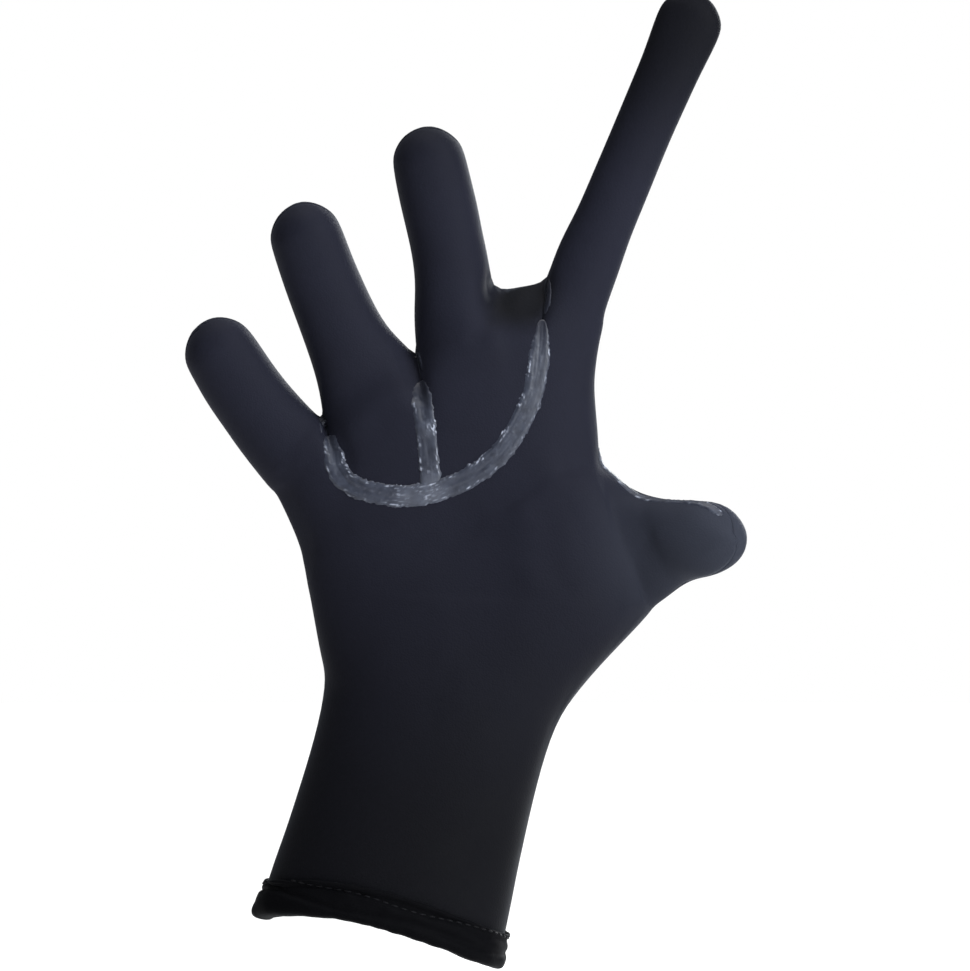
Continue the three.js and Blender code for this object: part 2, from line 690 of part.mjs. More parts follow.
// The hem: cloth folded over the cuff's edge and sewn, thin above and a fat roll below
function hemGeometry() {
  const edge = [...skin.front[ROW.rim], ...skin.back[ROW.rim].slice(1, -1).reverse()];
  const above = [...skin.front[ROW.hemTop], ...skin.back[ROW.hemTop].slice(1, -1).reverse()];
  const outside = HEM_CLEARANCE;
  const inside = -WALL - HEM_CLEARANCE;
  const section = [
    { out: outside + HEM_THICKNESS * 1.1, up: HEM_HEIGHT * 0.95 },
    { out: outside + HEM_THICKNESS * 0.65, up: HEM_HEIGHT * 0.8 },
    { out: outside + HEM_THICKNESS, up: HEM_HEIGHT * 0.6 },
    { out: outside + HEM_ROLL, up: HEM_HEIGHT * 0.18 },
    { out: outside + HEM_ROLL * 0.7, up: -HEM_ROLL * 0.7 },
    { out: -WALL / 2, up: -HEM_CLEARANCE - HEM_ROLL * 0.8 },
    { out: inside - HEM_THICKNESS, up: 0 },
    { out: inside - HEM_THICKNESS, up: HEM_INSIDE },
    { out: inside, up: HEM_INSIDE },
    { out: inside, up: -HEM_CLEARANCE },
    { out: outside, up: -HEM_CLEARANCE },
    { out: outside, up: HEM_HEIGHT },
  ];
  const rings = edge.map((corner, k) => {
    const rise = points[above[k]].clone().sub(points[corner]).normalize();
    const normal = normals[corner].clone();
    normal.addScaledVector(rise, -normal.dot(rise)).normalize();
    return section.map(({ out, up }) =>
      points[corner].clone().addScaledVector(normal, out).addScaledVector(rise, up),
    );
  });
  return ringSolid(rings, true);
}

const NEOPRENE = { color: 0x17171f, roughness: 0.8, metalness: 0 };
const SEALANT = { color: 0x4a4d57, roughness: 0.45, metalness: 0 };

const glove = new THREE.Group();

function addPiece(name, geometry, finish) {
  const piece = new THREE.Mesh(geometry, new THREE.MeshStandardMaterial(finish));
  piece.name = name;
  glove.add(piece);
}

for (const panel of new Set(faces.map((face) => face.panel))) {
  addPiece(panel, panelGeometry(panel), NEOPRENE);
}
addPiece('cuff_hem', hemGeometry(), NEOPRENE);
addPiece('palm_seam_seal', sealGeometry(palmSealRoute(), SEALS.palm), SEALANT);
addPiece('finger_seam_seal', sealGeometry(fingerSealRoute(), SEALS.palm), SEALANT);
addPiece('thumb_seam_seal', sealGeometry(thumbSealRoute(), SEALS.thumb), SEALANT);
for (const [left, right] of [['little', 'ring'], ['ring', 'middle'], ['middle', 'index']]) {
  const route = gapSealRoute(grown[left], grown[right]);
  addPiece(`${left}_gap_seal`, sealGeometry(route, SEALS.gap), SEALANT);
}

export default glove;
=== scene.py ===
import math

import bmesh
import bpy
from mathutils import Matrix, Vector, noise
from mathutils.bvhtree import BVHTree


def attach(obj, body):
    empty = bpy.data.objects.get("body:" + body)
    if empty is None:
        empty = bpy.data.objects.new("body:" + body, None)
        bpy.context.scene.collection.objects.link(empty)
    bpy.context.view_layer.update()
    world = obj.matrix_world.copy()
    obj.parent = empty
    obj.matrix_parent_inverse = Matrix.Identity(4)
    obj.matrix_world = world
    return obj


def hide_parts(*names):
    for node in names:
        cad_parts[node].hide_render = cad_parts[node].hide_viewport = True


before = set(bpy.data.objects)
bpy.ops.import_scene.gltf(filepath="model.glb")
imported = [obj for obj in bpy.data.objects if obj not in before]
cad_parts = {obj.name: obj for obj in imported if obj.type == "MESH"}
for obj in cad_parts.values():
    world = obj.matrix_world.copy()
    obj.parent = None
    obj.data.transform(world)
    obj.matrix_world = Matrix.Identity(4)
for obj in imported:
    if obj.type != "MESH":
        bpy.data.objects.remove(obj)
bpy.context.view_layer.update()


# The view: level with the middle of the glove and square to the palm. The camera stands far off with a
# long lens, so that the fingers and the cuff keep the sizes that they have in a flat view.
VIEW_CENTRE = Vector((0.0346, 0, 0.1467))
VIEW_HEIGHT = 0.3156
VIEW_DISTANCE = 2.4
SENSOR_HEIGHT = 24

camera_data = bpy.data.cameras.new("camera")
camera_data.sensor_fit = "VERTICAL"
camera_data.sensor_height = SENSOR_HEIGHT
camera_data.lens = SENSOR_HEIGHT * VIEW_DISTANCE / VIEW_HEIGHT
camera_data.clip_end = 50
camera = bpy.data.objects.new("camera", camera_data)
camera.location = VIEW_CENTRE + Vector((0, -VIEW_DISTANCE, 0))
camera.rotation_euler = (math.radians(90), 0, 0)
bpy.context.scene.collection.objects.link(camera)
bpy.context.scene.camera = camera


# The cloth: 3 mm neoprene foam faced with black nylon jersey, cut into four pieces that are glued and
# blind-stitched edge to edge. The ring and middle fingers' fronts are set into the palm piece, whose
# cloth runs on into the cuff, the little and index fingers and the thumb; one piece makes the back.
CLOTH_PIECES = {
    "palm_cloth": ["palm", "cuff_front", "little_finger_front", "index_finger_front", "thumb_front"],
    "ring_finger_cloth": ["ring_finger_front"],
    "middle_finger_cloth": ["middle_finger_front"],
    "back_cloth": [
        "back_of_hand",
        "cuff_back",
        "little_finger_back",
        "ring_finger_back",
        "middle_finger_back",
        "index_finger_back",
        "thumb_back",
    ],
}
CLOTH_WALL = 0.003
CUFF_LEAN = Vector((0.2588, 0, 0.9659))
CORNER_WELD = 0.00002
SEAM_WELD = 0.0007
TIP_MERGE = 0.0018
HOLE_SIDES = 12
SKIN_LEVELS = 2
FIT_ROUNDS = 6
MAX_LIFT = 0.0015


def merged(node):
    """A copy of a node's mesh with the corners of its loose triangles merged."""
    copy = bmesh.new()
    copy.from_mesh(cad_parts[node].data)
    bmesh.ops.remove_doubles(copy, verts=copy.verts, dist=CORNER_WELD)
    return copy


def join_into_quads(shape):
    """Joins a bmesh's triangles in pairs, but not across two pieces of cloth."""
    bmesh.ops.join_triangles(
        shape,
        faces=shape.faces,
        cmp_materials=True,
        angle_face_threshold=math.pi,
        angle_shape_threshold=math.pi,
    )


def evaluated_mesh(piece):
    """A new mesh of what the piece's modifiers make of it."""
    bpy.context.view_layer.update()
    graph = bpy.context.evaluated_depsgraph_get()
    return bpy.data.meshes.new_from_object(piece.evaluated_get(graph), depsgraph=graph)


def rounded(shape, levels):
    """Subdivides a bmesh so that its rounded surface still passes through the points it had."""
    mesh = bpy.data.meshes.new("cage")
    shape.to_mesh(mesh)
    cage = bpy.data.objects.new("cage", mesh)
    bpy.context.scene.collection.objects.link(cage)
    subdivision = cage.modifiers.new("subdivision", "SUBSURF")
    subdivision.levels = subdivision.render_levels = 1
    goals = [vertex.co.copy() for vertex in mesh.vertices]
    for _ in range(FIT_ROUNDS):
        smooth = evaluated_mesh(cage)
        for vertex, goal in zip(mesh.vertices, goals):
            vertex.co += goal - smooth.vertices[vertex.index].co
            lift = vertex.co - goal
            if lift.length > MAX_LIFT:
                vertex.co = goal + lift.normalized() * MAX_LIFT
        bpy.data.meshes.remove(smooth)
    subdivision.levels = subdivision.render_levels = levels
    smooth = evaluated_mesh(cage)
    bpy.data.objects.remove(cage)
    bpy.data.meshes.remove(mesh)
    return smooth


def smooth_object(name, shape, material):
    """Turns a bmesh into an object of the scene, with smooth faces of one material."""
    for face in shape.faces:
        face.material_index = 0
        face.smooth = True
    mesh = bpy.data.meshes.new(name)
    shape.to_mesh(mesh)
    shape.free()
    mesh.materials.append(material)
    piece = bpy.data.objects.new(name, mesh)
    bpy.context.scene.collection.objects.link(piece)
    return piece


# All the panels together, with their inner faces and cut edges, and a lid over the cuff's opening
skin = bmesh.new()
for index, nodes in enumerate(CLOTH_PIECES.values()):
    for node in nodes:
        panel = merged(node)
        for face in panel.faces:
            face.material_index = index
        panel_mesh = bpy.data.meshes.new(node)
        panel.to_mesh(panel_mesh)
        panel.free()
        skin.from_mesh(panel_mesh)
        bpy.data.meshes.remove(panel_mesh)
walls = BVHTree.FromBMesh(skin)

LID_RISE = 0.015
low_end = min(vertex.co.dot(CUFF_LEAN) for vertex in skin.verts)
rim = [vertex.co for vertex in skin.verts if vertex.co.dot(CUFF_LEAN) < low_end + LID_RISE]
lid_centre = sum(rim, Vector()) / len(rim)
lid_centre -= CUFF_LEAN * (lid_centre.dot(CUFF_LEAN) - low_end)
lid_radius = max((point - lid_centre).length for point in rim)

# Lines spread evenly over the half-space in front of a face
LINES = 64
GOLDEN_TURN = math.pi * (3 - math.sqrt(5))
spread = []
for k in range(LINES):
    rise = (k + 0.5) / LINES
    flat = math.sqrt(1 - rise * rise)
    spread.append(Vector((flat * math.cos(k * GOLDEN_TURN), flat * math.sin(k * GOLDEN_TURN), rise)))

CUT_GAP = 0.0005
LINE_START = 0.00002
OPEN_SHARE = 0.1
RIM_TURN = -0.8


def looks_out(face):
    """Whether a face of the panels lies on the outside of the glove: none of the others stands against
    it, as the cut edges do, and enough of the lines from it reach the open without passing the lid."""
    start = face.calc_center_median() + face.normal * LINE_START
    if walls.ray_cast(start, face.normal, CUT_GAP)[0] is not None:
        return False
    turned = face.normal.to_track_quat("Z", "Y")
    open_lines = 0
    for line in spread:
        direction = turned @ line
        if walls.ray_cast(start, direction)[0] is None:
            fall = direction.dot(CUFF_LEAN)
            if fall < 0:
                reach = (lid_centre - start).dot(CUFF_LEAN) / fall
                if reach > 0 and (start + direction * reach - lid_centre).length < lid_radius:
                    continue
            open_lines += 1
    return open_lines > OPEN_SHARE * LINES


# The outer faces, welded into one skin
hidden = []
for face in skin.faces:
    is_low = face.calc_center_median().dot(CUFF_LEAN) < low_end + CLOTH_WALL
    is_rim = is_low and face.normal.dot(CUFF_LEAN) < RIM_TURN
    if is_rim or not looks_out(face):
        hidden.append(face)
bmesh.ops.delete(skin, geom=hidden, context="FACES")
bmesh.ops.remove_doubles(skin, verts=skin.verts, dist=SEAM_WELD)
crowded = [
    vertex
    for vertex in skin.verts
    if any(edge.calc_length() < TIP_MERGE for edge in vertex.link_edges)
]
bmesh.ops.remove_doubles(skin, verts=crowded, dist=TIP_MERGE)
join_into_quads(skin)
bmesh.ops.holes_fill(skin, edges=skin.edges, sides=HOLE_SIDES)

PALM_ROUNDS = 3
PALM_LOW = 0.075
PALM_HIGH = 0.152
THUMB_ROUNDS = 10
THUMB_LOW = 0.1
THUMB_START = 0.05
THUMB_FRONT = -0.003


def settle(rounds, is_loose):
    """Evens out the depth of the skin's loose points, because the foam takes no sharp turns there."""
    for _ in range(rounds):
        loose = [vertex for vertex in skin.verts if is_loose(vertex)]
        bmesh.ops.smooth_vert(skin, verts=loose, factor=0.5, use_axis_y=True)


def is_on_palm(vertex):
    return PALM_LOW < vertex.co.z < PALM_HIGH and not vertex.is_boundary


def is_on_thumb_front(vertex):
    is_in_front = vertex.co.y < THUMB_FRONT
    return is_in_front and vertex.co.x > THUMB_START and THUMB_LOW < vertex.co.z < PALM_HIGH


settle(PALM_ROUNDS, is_on_palm)
settle(THUMB_ROUNDS, is_on_thumb_front)
skin_mesh = rounded(skin, SKIN_LEVELS)
skin.free()

skin = bmesh.new()
skin.from_mesh(skin_mesh)
bpy.data.meshes.remove(skin_mesh)
skin.normal_update()

# Folds of the front, each a line in the plane of the palm: from x, z to x, z, half width, depth. They
# are the sunk roots of the set-in finger fronts, the slack web and the crease at the wrist.
FOLD_COLUMNS = ("from_x", "from_z", "to_x", "to_z", "half_width", "depth")
FOLDS = [
    (0.0385, 0.2105, 0.0360, 0.2030, 0.0050, 0.00240),
    (0.0360, 0.2030, 0.0320, 0.1945, 0.0028, 0.00080),
    (0.0520, 0.2090, 0.0490, 0.2030, 0.0024, 0.00080),
    (0.0088, 0.1890, 0.0126, 0.1755, 0.0028, 0.00130),
    (0.0126, 0.1755, 0.0000, 0.1700, 0.0036, 0.00035),
    (-0.0138, 0.1650, -0.0102, 0.1545, 0.0030, 0.00110),
    (-0.0102, 0.1600, 0.0020, 0.1640, 0.0036, 0.00030),
    (-0.0150, 0.0800, 0.0180, 0.0735, 0.0030, 0.00030),
    (0.0180, 0.0735, 0.0560, 0.0690, 0.0034, 0.00022),
]
FRONT_TURN = -0.2
for vertex in skin.verts:
    if vertex.normal.y > FRONT_TURN or vertex.co.y > 0:
        continue
    spot = Vector((vertex.co.x, vertex.co.z))
    sunk = 0
    for row in FOLDS:
        fold = dict(zip(FOLD_COLUMNS, row))
        begin = Vector((fold["from_x"], fold["from_z"]))
        line = Vector((fold["to_x"], fold["to_z"])) - begin
        share = min(1, max(0, (spot - begin).dot(line) / line.length_squared))
        away = (spot - begin - line * share).length / fold["half_width"]
        sunk += fold["depth"] * math.exp(-away * away)
    vertex.co -= vertex.normal * sunk
skin.normal_update()
skin_tree = BVHTree.FromBMesh(skin)

# The jersey's face: loops in rows that lean with the cuff, and a cloudy wear
KNIT_LEAN = math.radians(-15)
knit = bpy.data.node_groups.new("knit_face", "ShaderNodeTree")
knit.interface.new_socket("Loops", in_out="INPUT", socket_type="NodeSocketFloat")
knit.interface.new_socket("Mottle", in_out="OUTPUT", socket_type="NodeSocketFloat")
knit.interface.new_socket("Height", in_out="OUTPUT", socket_type="NodeSocketFloat")
knit_in = knit.nodes.new("NodeGroupInput")
knit_out = knit.nodes.new("NodeGroupOutput")
knit_place = knit.nodes.new("ShaderNodeTexCoord")
mottle = knit.nodes.new("ShaderNodeTexNoise")
mottle.inputs["Scale"].default_value = 55
mottle.inputs["Detail"].default_value = 5
knit.links.new(knit_place.outputs["Object"], mottle.inputs["Vector"])
knit.links.new(mottle.outputs["Fac"], knit_out.inputs["Mottle"])
leaning = knit.nodes.new("ShaderNodeMapping")
leaning.inputs["Rotation"].default_value = (0, KNIT_LEAN, 0)
knit.links.new(knit_place.outputs["Object"], leaning.inputs["Vector"])
loops = knit.nodes.new("ShaderNodeTexVoronoi")
knit.links.new(leaning.outputs["Vector"], loops.inputs["Vector"])
knit.links.new(knit_in.outputs["Loops"], loops.inputs["Scale"])
knit.links.new(loops.outputs["Distance"], knit_out.inputs["Height"])


def faded(tree, value, start, end, at_start, at_end):
    """A socket that goes softly from at_start, where the value is start, to at_end, where it is end."""
    ramp = tree.nodes.new("ShaderNodeMapRange")
    ramp.interpolation_type = "SMOOTHSTEP"
    ramp.inputs["From Min"].default_value = start
    ramp.inputs["From Max"].default_value = end
    ramp.inputs["To Min"].default_value = at_start
    ramp.inputs["To Max"].default_value = at_end
    tree.links.new(value, ramp.inputs["Value"])
    return ramp.outputs["Result"]


def mixed(tree, factor, first, second):
    """A socket with the mix of two colours, each of which is a tuple or another socket."""
    mix = tree.nodes.new("ShaderNodeMix")
    mix.data_type = "RGBA"
    tree.links.new(factor, mix.inputs["Factor"])
    for key, colour in (("A", first), ("B", second)):
        if isinstance(colour, tuple):
            mix.inputs[key].default_value = (*colour, 1)
        else:
            tree.links.new(colour, mix.inputs[key])
    return mix.outputs["Result"]


def set_between(tree, share, low, high, target):
    """Lets a share between 0 and 1 set a socket to a value from low to high."""
    ramp = tree.nodes.new("ShaderNodeMapRange")
    ramp.inputs["To Min"].default_value = low
    ramp.inputs["To Max"].default_value = high
    tree.links.new(share, ramp.inputs["Value"])
    tree.links.new(ramp.outputs["Result"], target)


def bump_up(tree, height, strength, distance):
    """Raises a material's fine relief by a height between 0 and 1."""
    bump = tree.nodes.new("ShaderNodeBump")
    bump.inputs["Strength"].default_value = strength
    bump.inputs["Distance"].default_value = distance
    tree.links.new(height, bump.inputs["Height"])
    tree.links.new(bump.outputs["Normal"], tree.nodes["Principled BSDF"].inputs["Normal"])


# Places of painted light and shade, each with the radii where it starts and stops to fade, its strength
# and
# its colour: a painted highlight makes the cloth over the thumb paler, and painted shade darkens the
# slack web.
PAINTED_LIGHT_AND_SHADE_SPOTS = [
    ((0.118, -0.02, 0.126), 0.01, 0.062, 1, (0.0175, 0.0195, 0.0275)),
    ((0.046, -0.006, 0.2085), 0.006, 0.017, 0.85, (0.0008, 0.0009, 0.0014)),
]
# Painted shade: the cloth's colour fades towards this near-black low on the cuff and high on the long
# finger's tip
PAINTED_SHADE_COLOUR = (0.0006, 0.0006, 0.0009)
CUFF_SHADE_START, CUFF_SHADE_END = 0.02, 0.17
TIP_SHADE_START, TIP_SHADE_END = 0.235, 0.295
TIP_SHADE_SHARE = 0.25


def neoprene_material(name, base, tint, cuff_shade_share, gloss, sheen):
    """Black knit-faced foam, faintly mottled. Painted shade makes the cuff and the tip of the long finger
    blacker, and the spots above add a painted highlight on the thumb and painted shade in the web.
    """
    material = bpy.data.materials.new(name)
    material.use_nodes = True
    tree = material.node_tree
    shader = tree.nodes["Principled BSDF"]
    shader.inputs["Specular IOR Level"].default_value = gloss
    shader.inputs["Sheen Weight"].default_value = sheen
    shader.inputs["Sheen Roughness"].default_value = 0.4
    shader.inputs["Sheen Tint"].default_value = (0.7, 0.8, 1, 1)
    jersey = tree.nodes.new("ShaderNodeGroup")
    jersey.node_tree = knit
    jersey.inputs["Loops"].default_value = 1500
    place = tree.nodes.new("ShaderNodeTexCoord")

    colour = mixed(tree, jersey.outputs["Mottle"], base, tint)
    # Painted highlight on the thumb and painted shade in the slack web, each mixed in by its distance
    # from a spot
    for spot, core, reach, strength, tone in PAINTED_LIGHT_AND_SHADE_SPOTS:
        away = tree.nodes.new("ShaderNodeVectorMath")
        away.operation = "DISTANCE"
        away.inputs[1].default_value = spot
        tree.links.new(place.outputs["Object"], away.inputs[0])
        share = faded(tree, away.outputs["Value"], core, reach, strength, 0)
        colour = mixed(tree, share, colour, tone)
    axes = tree.nodes.new("ShaderNodeSeparateXYZ")
    tree.links.new(place.outputs["Object"], axes.inputs["Vector"])
    height = axes.outputs["Z"]
    # Painted shade: full colour on the palm and fingers, falling towards near-black low on the cuff and
    # at the long finger's tip
    lit = tree.nodes.new("ShaderNodeMath")
    lit.operation = "MULTIPLY"
    cuff_light = faded(tree, height, CUFF_SHADE_START, CUFF_SHADE_END, cuff_shade_share, 1)
    tip_light = faded(tree, height, TIP_SHADE_START, TIP_SHADE_END, 1, TIP_SHADE_SHARE)
    tree.links.new(cuff_light, lit.inputs[0])
    tree.links.new(tip_light, lit.inputs[1])
    colour = mixed(tree, lit.outputs["Value"], PAINTED_SHADE_COLOUR, colour)
    tree.links.new(colour, shader.inputs["Base Color"])

    set_between(tree, jersey.outputs["Mottle"], 0.6, 0.8, shader.inputs["Roughness"])
    bump_up(tree, jersey.outputs["Height"], 0.35, 0.00012)
    return material


neoprene = neoprene_material(
    "neoprene",
    base=(0.005, 0.0053, 0.0092),
    tint=(0.0074, 0.0078, 0.0132),
    cuff_shade_share=0.12,
    gloss=0.045,
    sheen=0.02,
)

# Each piece: its share of the skin, sunk a little along its seams, and its lining, one wall further in.
# The foam of the index finger, pulled long, is thinner.
SEAM_DEPTH = 0.0003
THUMB_TIP_SEAM_DEPTH = 0.00004
THUMB_TIP_START = 0.1
INDEX_SIDE = 0.05
THIN_START, THIN_END = 0.19, 0.235
INDEX_WALL_SHARE = 0.62
for index, (name, nodes) in enumerate(CLOTH_PIECES.items()):
    sheet = skin.copy()
    facing = sheet.verts.layers.float_vector.new("facing")
    for vertex in sheet.verts:
        vertex[facing] = vertex.normal
    others = [face for face in sheet.faces if face.material_index != index]
    bmesh.ops.delete(sheet, geom=others, context="FACES")
    for vertex in sheet.verts:
        if vertex.is_boundary and vertex.co.dot(CUFF_LEAN) > low_end + LID_RISE:
            is_on_thumb_tip = vertex.co.x > THUMB_TIP_START and vertex.co.z < PALM_HIGH
            depth = THUMB_TIP_SEAM_DEPTH if is_on_thumb_tip else SEAM_DEPTH
            vertex.co -= Vector(vertex[facing]) * depth
    lining = bmesh.ops.extrude_face_region(sheet, geom=sheet.faces[:])
    for item in lining["geom"]:
        if isinstance(item, bmesh.types.BMVert):
            stretch = 0
            if item.co.x >= INDEX_SIDE:
                stretch = min(1, max(0, (item.co.z - THIN_START) / (THIN_END - THIN_START)))
            share = 1 - (1 - INDEX_WALL_SHARE) * stretch
            item.co -= Vector(item[facing]) * CLOTH_WALL * share
    bmesh.ops.recalc_face_normals(sheet, faces=sheet.faces)
    cloth = smooth_object(name, sheet, neoprene)
    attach(cloth, "root")
    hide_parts(*nodes)
skin.free()


# The hem: the cuff's edge turned over and sewn down, a thin doubled band above and a fat roll below.
# Its rows run round it, each given by its height and how it sways: one is sewn and one is only a fold.
HEM_LEVELS = 3
ACROSS = Vector((CUFF_LEAN.z, 0, -CUFF_LEAN.x))
HEM_ARCH = 0.0022
SWAY_PHASE = 900
ROW_COLUMNS = ("height", "sway", "waves", "half_width", "depth", "is_sewn")
HEM_ROWS = [
    (0.0120, 0.0005, 5, 0.0007, 0.00035, True),
    (0.0070, 0.0008, 4, 0.0012, 0.00080, False),
]
RIPPLE_DEPTH = 0.0004
RIPPLES_ROUND = 7
RIPPLES_UP = 240
hem_rows = [dict(zip(ROW_COLUMNS, row)) for row in HEM_ROWS]
hem_shape = merged("cuff_hem")
join_into_quads(hem_shape)
hem_mesh = rounded(hem_shape, HEM_LEVELS)
hem_shape.free()


def turn_about_cuff(place):
    """The angle about the cuff's middle line at which a place lies."""
    away = place - lid_centre
    return math.atan2(away.y, away.dot(ACROSS))


def row_height(row, turn):
    """How far up the cuff's lean a row of the hem runs at that turn."""
    arch = HEM_ARCH * (abs(math.sin(turn)) - 0.5)
    wave = math.sin(row["waves"] * turn + row["height"] * SWAY_PHASE)
    return row["height"] + arch + row["sway"] * wave


hem_normals = [vertex.normal.copy() for vertex in hem_mesh.vertices]
for vertex, normal in zip(hem_mesh.vertices, hem_normals):
    height = vertex.co.dot(CUFF_LEAN)
    turn = turn_about_cuff(vertex.co)
    for row in hem_rows:
        away = (height - row_height(row, turn)) / row["half_width"]
        vertex.co -= normal * row["depth"] * math.exp(-away * away)
    round_x, round_y = math.cos(turn) * RIPPLES_ROUND, math.sin(turn) * RIPPLES_ROUND
    vertex.co += normal * RIPPLE_DEPTH * noise.noise((round_x, round_y, height * RIPPLES_UP))
hem_surface = bmesh.new()
hem_surface.from_mesh(hem_mesh)
bpy.data.meshes.remove(hem_mesh)
hem_tree = BVHTree.FromBMesh(hem_surface)

# The hem's cloth is blacker, and the painted shade low on the cuff keeps only a tenth of its colour
hem_neoprene = neoprene_material(
    "hem_neoprene",
    base=(0.003, 0.003, 0.004),
    tint=(0.0045, 0.0046, 0.006),
    cuff_shade_share=0.1,
    gloss=0.02,
    sheen=0.005,
)
hem = smooth_object("hem", hem_surface, hem_neoprene)
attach(hem, "root")
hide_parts("cuff_hem")


# The hem's stitches: one row of black polyester thread in lockstitch, pulled down into the foam all
# round the cuff, a little wavy because the cloth stretches as it is sewn.
STITCH_PITCH = 0.0031
STITCH_LENGTH = 0.0024
STITCH_RADIUS = 0.00032
STITCH_SINK = 0.00002
SEWING_STEPS = 1440
PAST_CUFF = 0.08
stitch_size = Matrix.Diagonal((STITCH_LENGTH / 2, STITCH_RADIUS, STITCH_RADIUS, 1))
stitches = bmesh.new()
for row in hem_rows:
    if not row["is_sewn"]:
        continue
    sewn = []
    for k in range(SEWING_STEPS):
        turn = math.radians(k * 360 / SEWING_STEPS)
        outward = ACROSS * math.cos(turn) + Vector((0, math.sin(turn), 0))
        middle = lid_centre + CUFF_LEAN * (row_height(row, turn) - lid_centre.dot(CUFF_LEAN))
        place, facing, _, _ = hem_tree.ray_cast(middle + outward * PAST_CUFF, -outward)
        if place is not None and (not sewn or (place - sewn[-1][0]).length >= STITCH_PITCH):
            sewn.append((place, facing))
    for (place, facing), (ahead, _) in zip(sewn, sewn[1:]):
        along = (ahead - place).normalized()
        side = facing.cross(along).normalized()
        turned = Matrix((along, side, along.cross(side))).transposed().to_4x4()
        moved = Matrix.Translation(place - facing * STITCH_SINK)
        bmesh.ops.create_icosphere(
            stitches, subdivisions=2, radius=1, matrix=moved @ turned @ stitch_size
        )

thread = bpy.data.materials.new("thread")
thread.use_nodes = True
thread_tree = thread.node_tree
thread_shader = thread_tree.nodes["Principled BSDF"]
thread_shader.inputs["Specular IOR Level"].default_value = 0.05
thread_shader.inputs["Roughness"].default_value = 0.5
thread_place = thread_tree.nodes.new("ShaderNodeTexCoord")
twist = thread_tree.nodes.new("ShaderNodeTexNoise")
twist.inputs["Scale"].default_value = 2500
thread_tree.links.new(thread_place.outputs["Object"], twist.inputs["Vector"])
thread_colour = mixed(thread_tree, twist.outputs["Fac"], (0.001, 0.001, 0.0014), (0.004, 0.004, 0.005))
thread_tree.links.new(thread_colour, thread_shader.inputs["Base Color"])
hem_stitches = smooth_object("hem_stitches", stitches, thread)
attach(hem_stitches, "root")


# The sealant: grey liquid rubber brushed over the seams of the two set-in finger fronts, and along the
# thumb's upper seam and into the finger gaps. It dries into low strips with ragged edges and ridges.
PALM_STRIP = [
    (-0.0165, -0.008, 0.163),
    (-0.0145, -0.0115, 0.157),
    (-0.0132, -0.0128, 0.152),
    (-0.0086, -0.0149, 0.1469),
    (0.0005, -0.016, 0.144),
    (0.0102, -0.0167, 0.1433),
    (0.02, -0.0168, 0.1453),
    (0.0297, -0.0168, 0.1494),
    (0.0389, -0.0165, 0.1565),
    (0.046, -0.0155, 0.1668),
    (0.0505, -0.0141, 0.1778),
    (0.0525, -0.013, 0.1905),
    (0.0531, -0.01, 0.2005),
]
FINGER_STRIP = [
    (0.0134, -0.0114, 0.1808),
    (0.0147, -0.0152, 0.1717),
    (0.0157, -0.0165, 0.1628),
    (0.0166, -0.0169, 0.1538),
    (0.0171, -0.0168, 0.1442),
]
THUMB_STRIP = [
    (0.0712, -0.001, 0.1590),
    (0.0735, -0.002, 0.1540),
    (0.0782, -0.003, 0.1495),
    (0.0846, -0.0065, 0.1453),
    (0.0916, -0.0095, 0.1431),
    (0.0993, -0.0135, 0.1423),
    (0.1067, -0.0180, 0.1412),
    (0.1120, -0.0215, 0.1385),
]
LITTLE_GAP = [(-0.0184, -0.0025, 0.1686), (-0.0178, -0.006, 0.167), (-0.0168, -0.0095, 0.1645)]
RING_GAP = [(0.0119, -0.0025, 0.19), (0.0123, -0.0062, 0.1885), (0.013, -0.0105, 0.184)]
MIDDLE_GAP = [(0.0535, -0.003, 0.2143), (0.0540, -0.0075, 0.2085), (0.0534, -0.0100, 0.2025)]
ALONG_STEP = 0.0005
ACROSS_STEP = 0.00035
CURVE_STEPS = 40
TANGENT_SPAN = 4
NORMAL_SPAN = 6
MM = 1000


def along_route(points):
    """Evenly spaced places on a smooth line through the points."""
    spline = [Vector(point) for point in points]
    ends = [spline[0] * 2 - spline[1], *spline, spline[-1] * 2 - spline[-2]]
    dense = []
    for k in range(1, len(ends) - 2):
        a, b, c, d = ends[k - 1 : k + 3]
        for i in range(CURVE_STEPS):
            t = i / CURVE_STEPS
            bend = (a * 2 - b * 5 + c * 4 - d) * t**2 + (b * 3 - a - c * 3 + d) * t**3
            dense.append(0.5 * (b * 2 + (c - a) * t + bend))
    dense.append(spline[-1])
    spots = [dense[0]]
    for place in dense[1:]:
        while (place - spots[-1]).length >= ALONG_STEP:
            spots.append(spots[-1] + (place - spots[-1]).normalized() * ALONG_STEP)
    return spots


# Where the grid of a strip finds the skin. The grid reaches past the strip's edges, so that the ragged
# edges have room, and what lies outside them is under the skin.
REACH = 1.5
PROBE_HEIGHT = 0.004
PROBE_MISS = 1.6
MISS_DEPTH = 0.001
UNDER_SKIN = 0.0004
ROOT_DEPTH = 0.0006

# The shapes of the dried rubber. A rate is how fast a noise changes, per millimetre along the strip or
# across it, and a floor is the level of the noise from which on it shows.
RAGGED_EDGES = [
    {"rate": 0.3, "amount": 0.13, "shift": 0},
    {"rate": 0.9, "amount": 0.12, "shift": 7},
    {"rate": 2.6, "amount": 0.09, "shift": 11},
]
STREAKS = [
    {"rate_along": 0.1, "rate_across": 1.3, "amount": 0.13},
    {"rate_along": 0.5, "rate_across": 0.8, "amount": 0.07},
]
PATCH_RATE, PATCH_FLOOR, PATCH_STRENGTH, PATCH_SHIFT = 0.16, -0.15, 3, 5
SPECK_RATE_ALONG, SPECK_RATE_ACROSS, SPECK_FLOOR, SPECK_SHIFT = 0.8, 1.9, 0.1, 3
LUMP_RATE, LUMP_FLOOR, LUMP_AMOUNT, LUMP_SHIFT = 0.9, 0.3, 0.35, 9
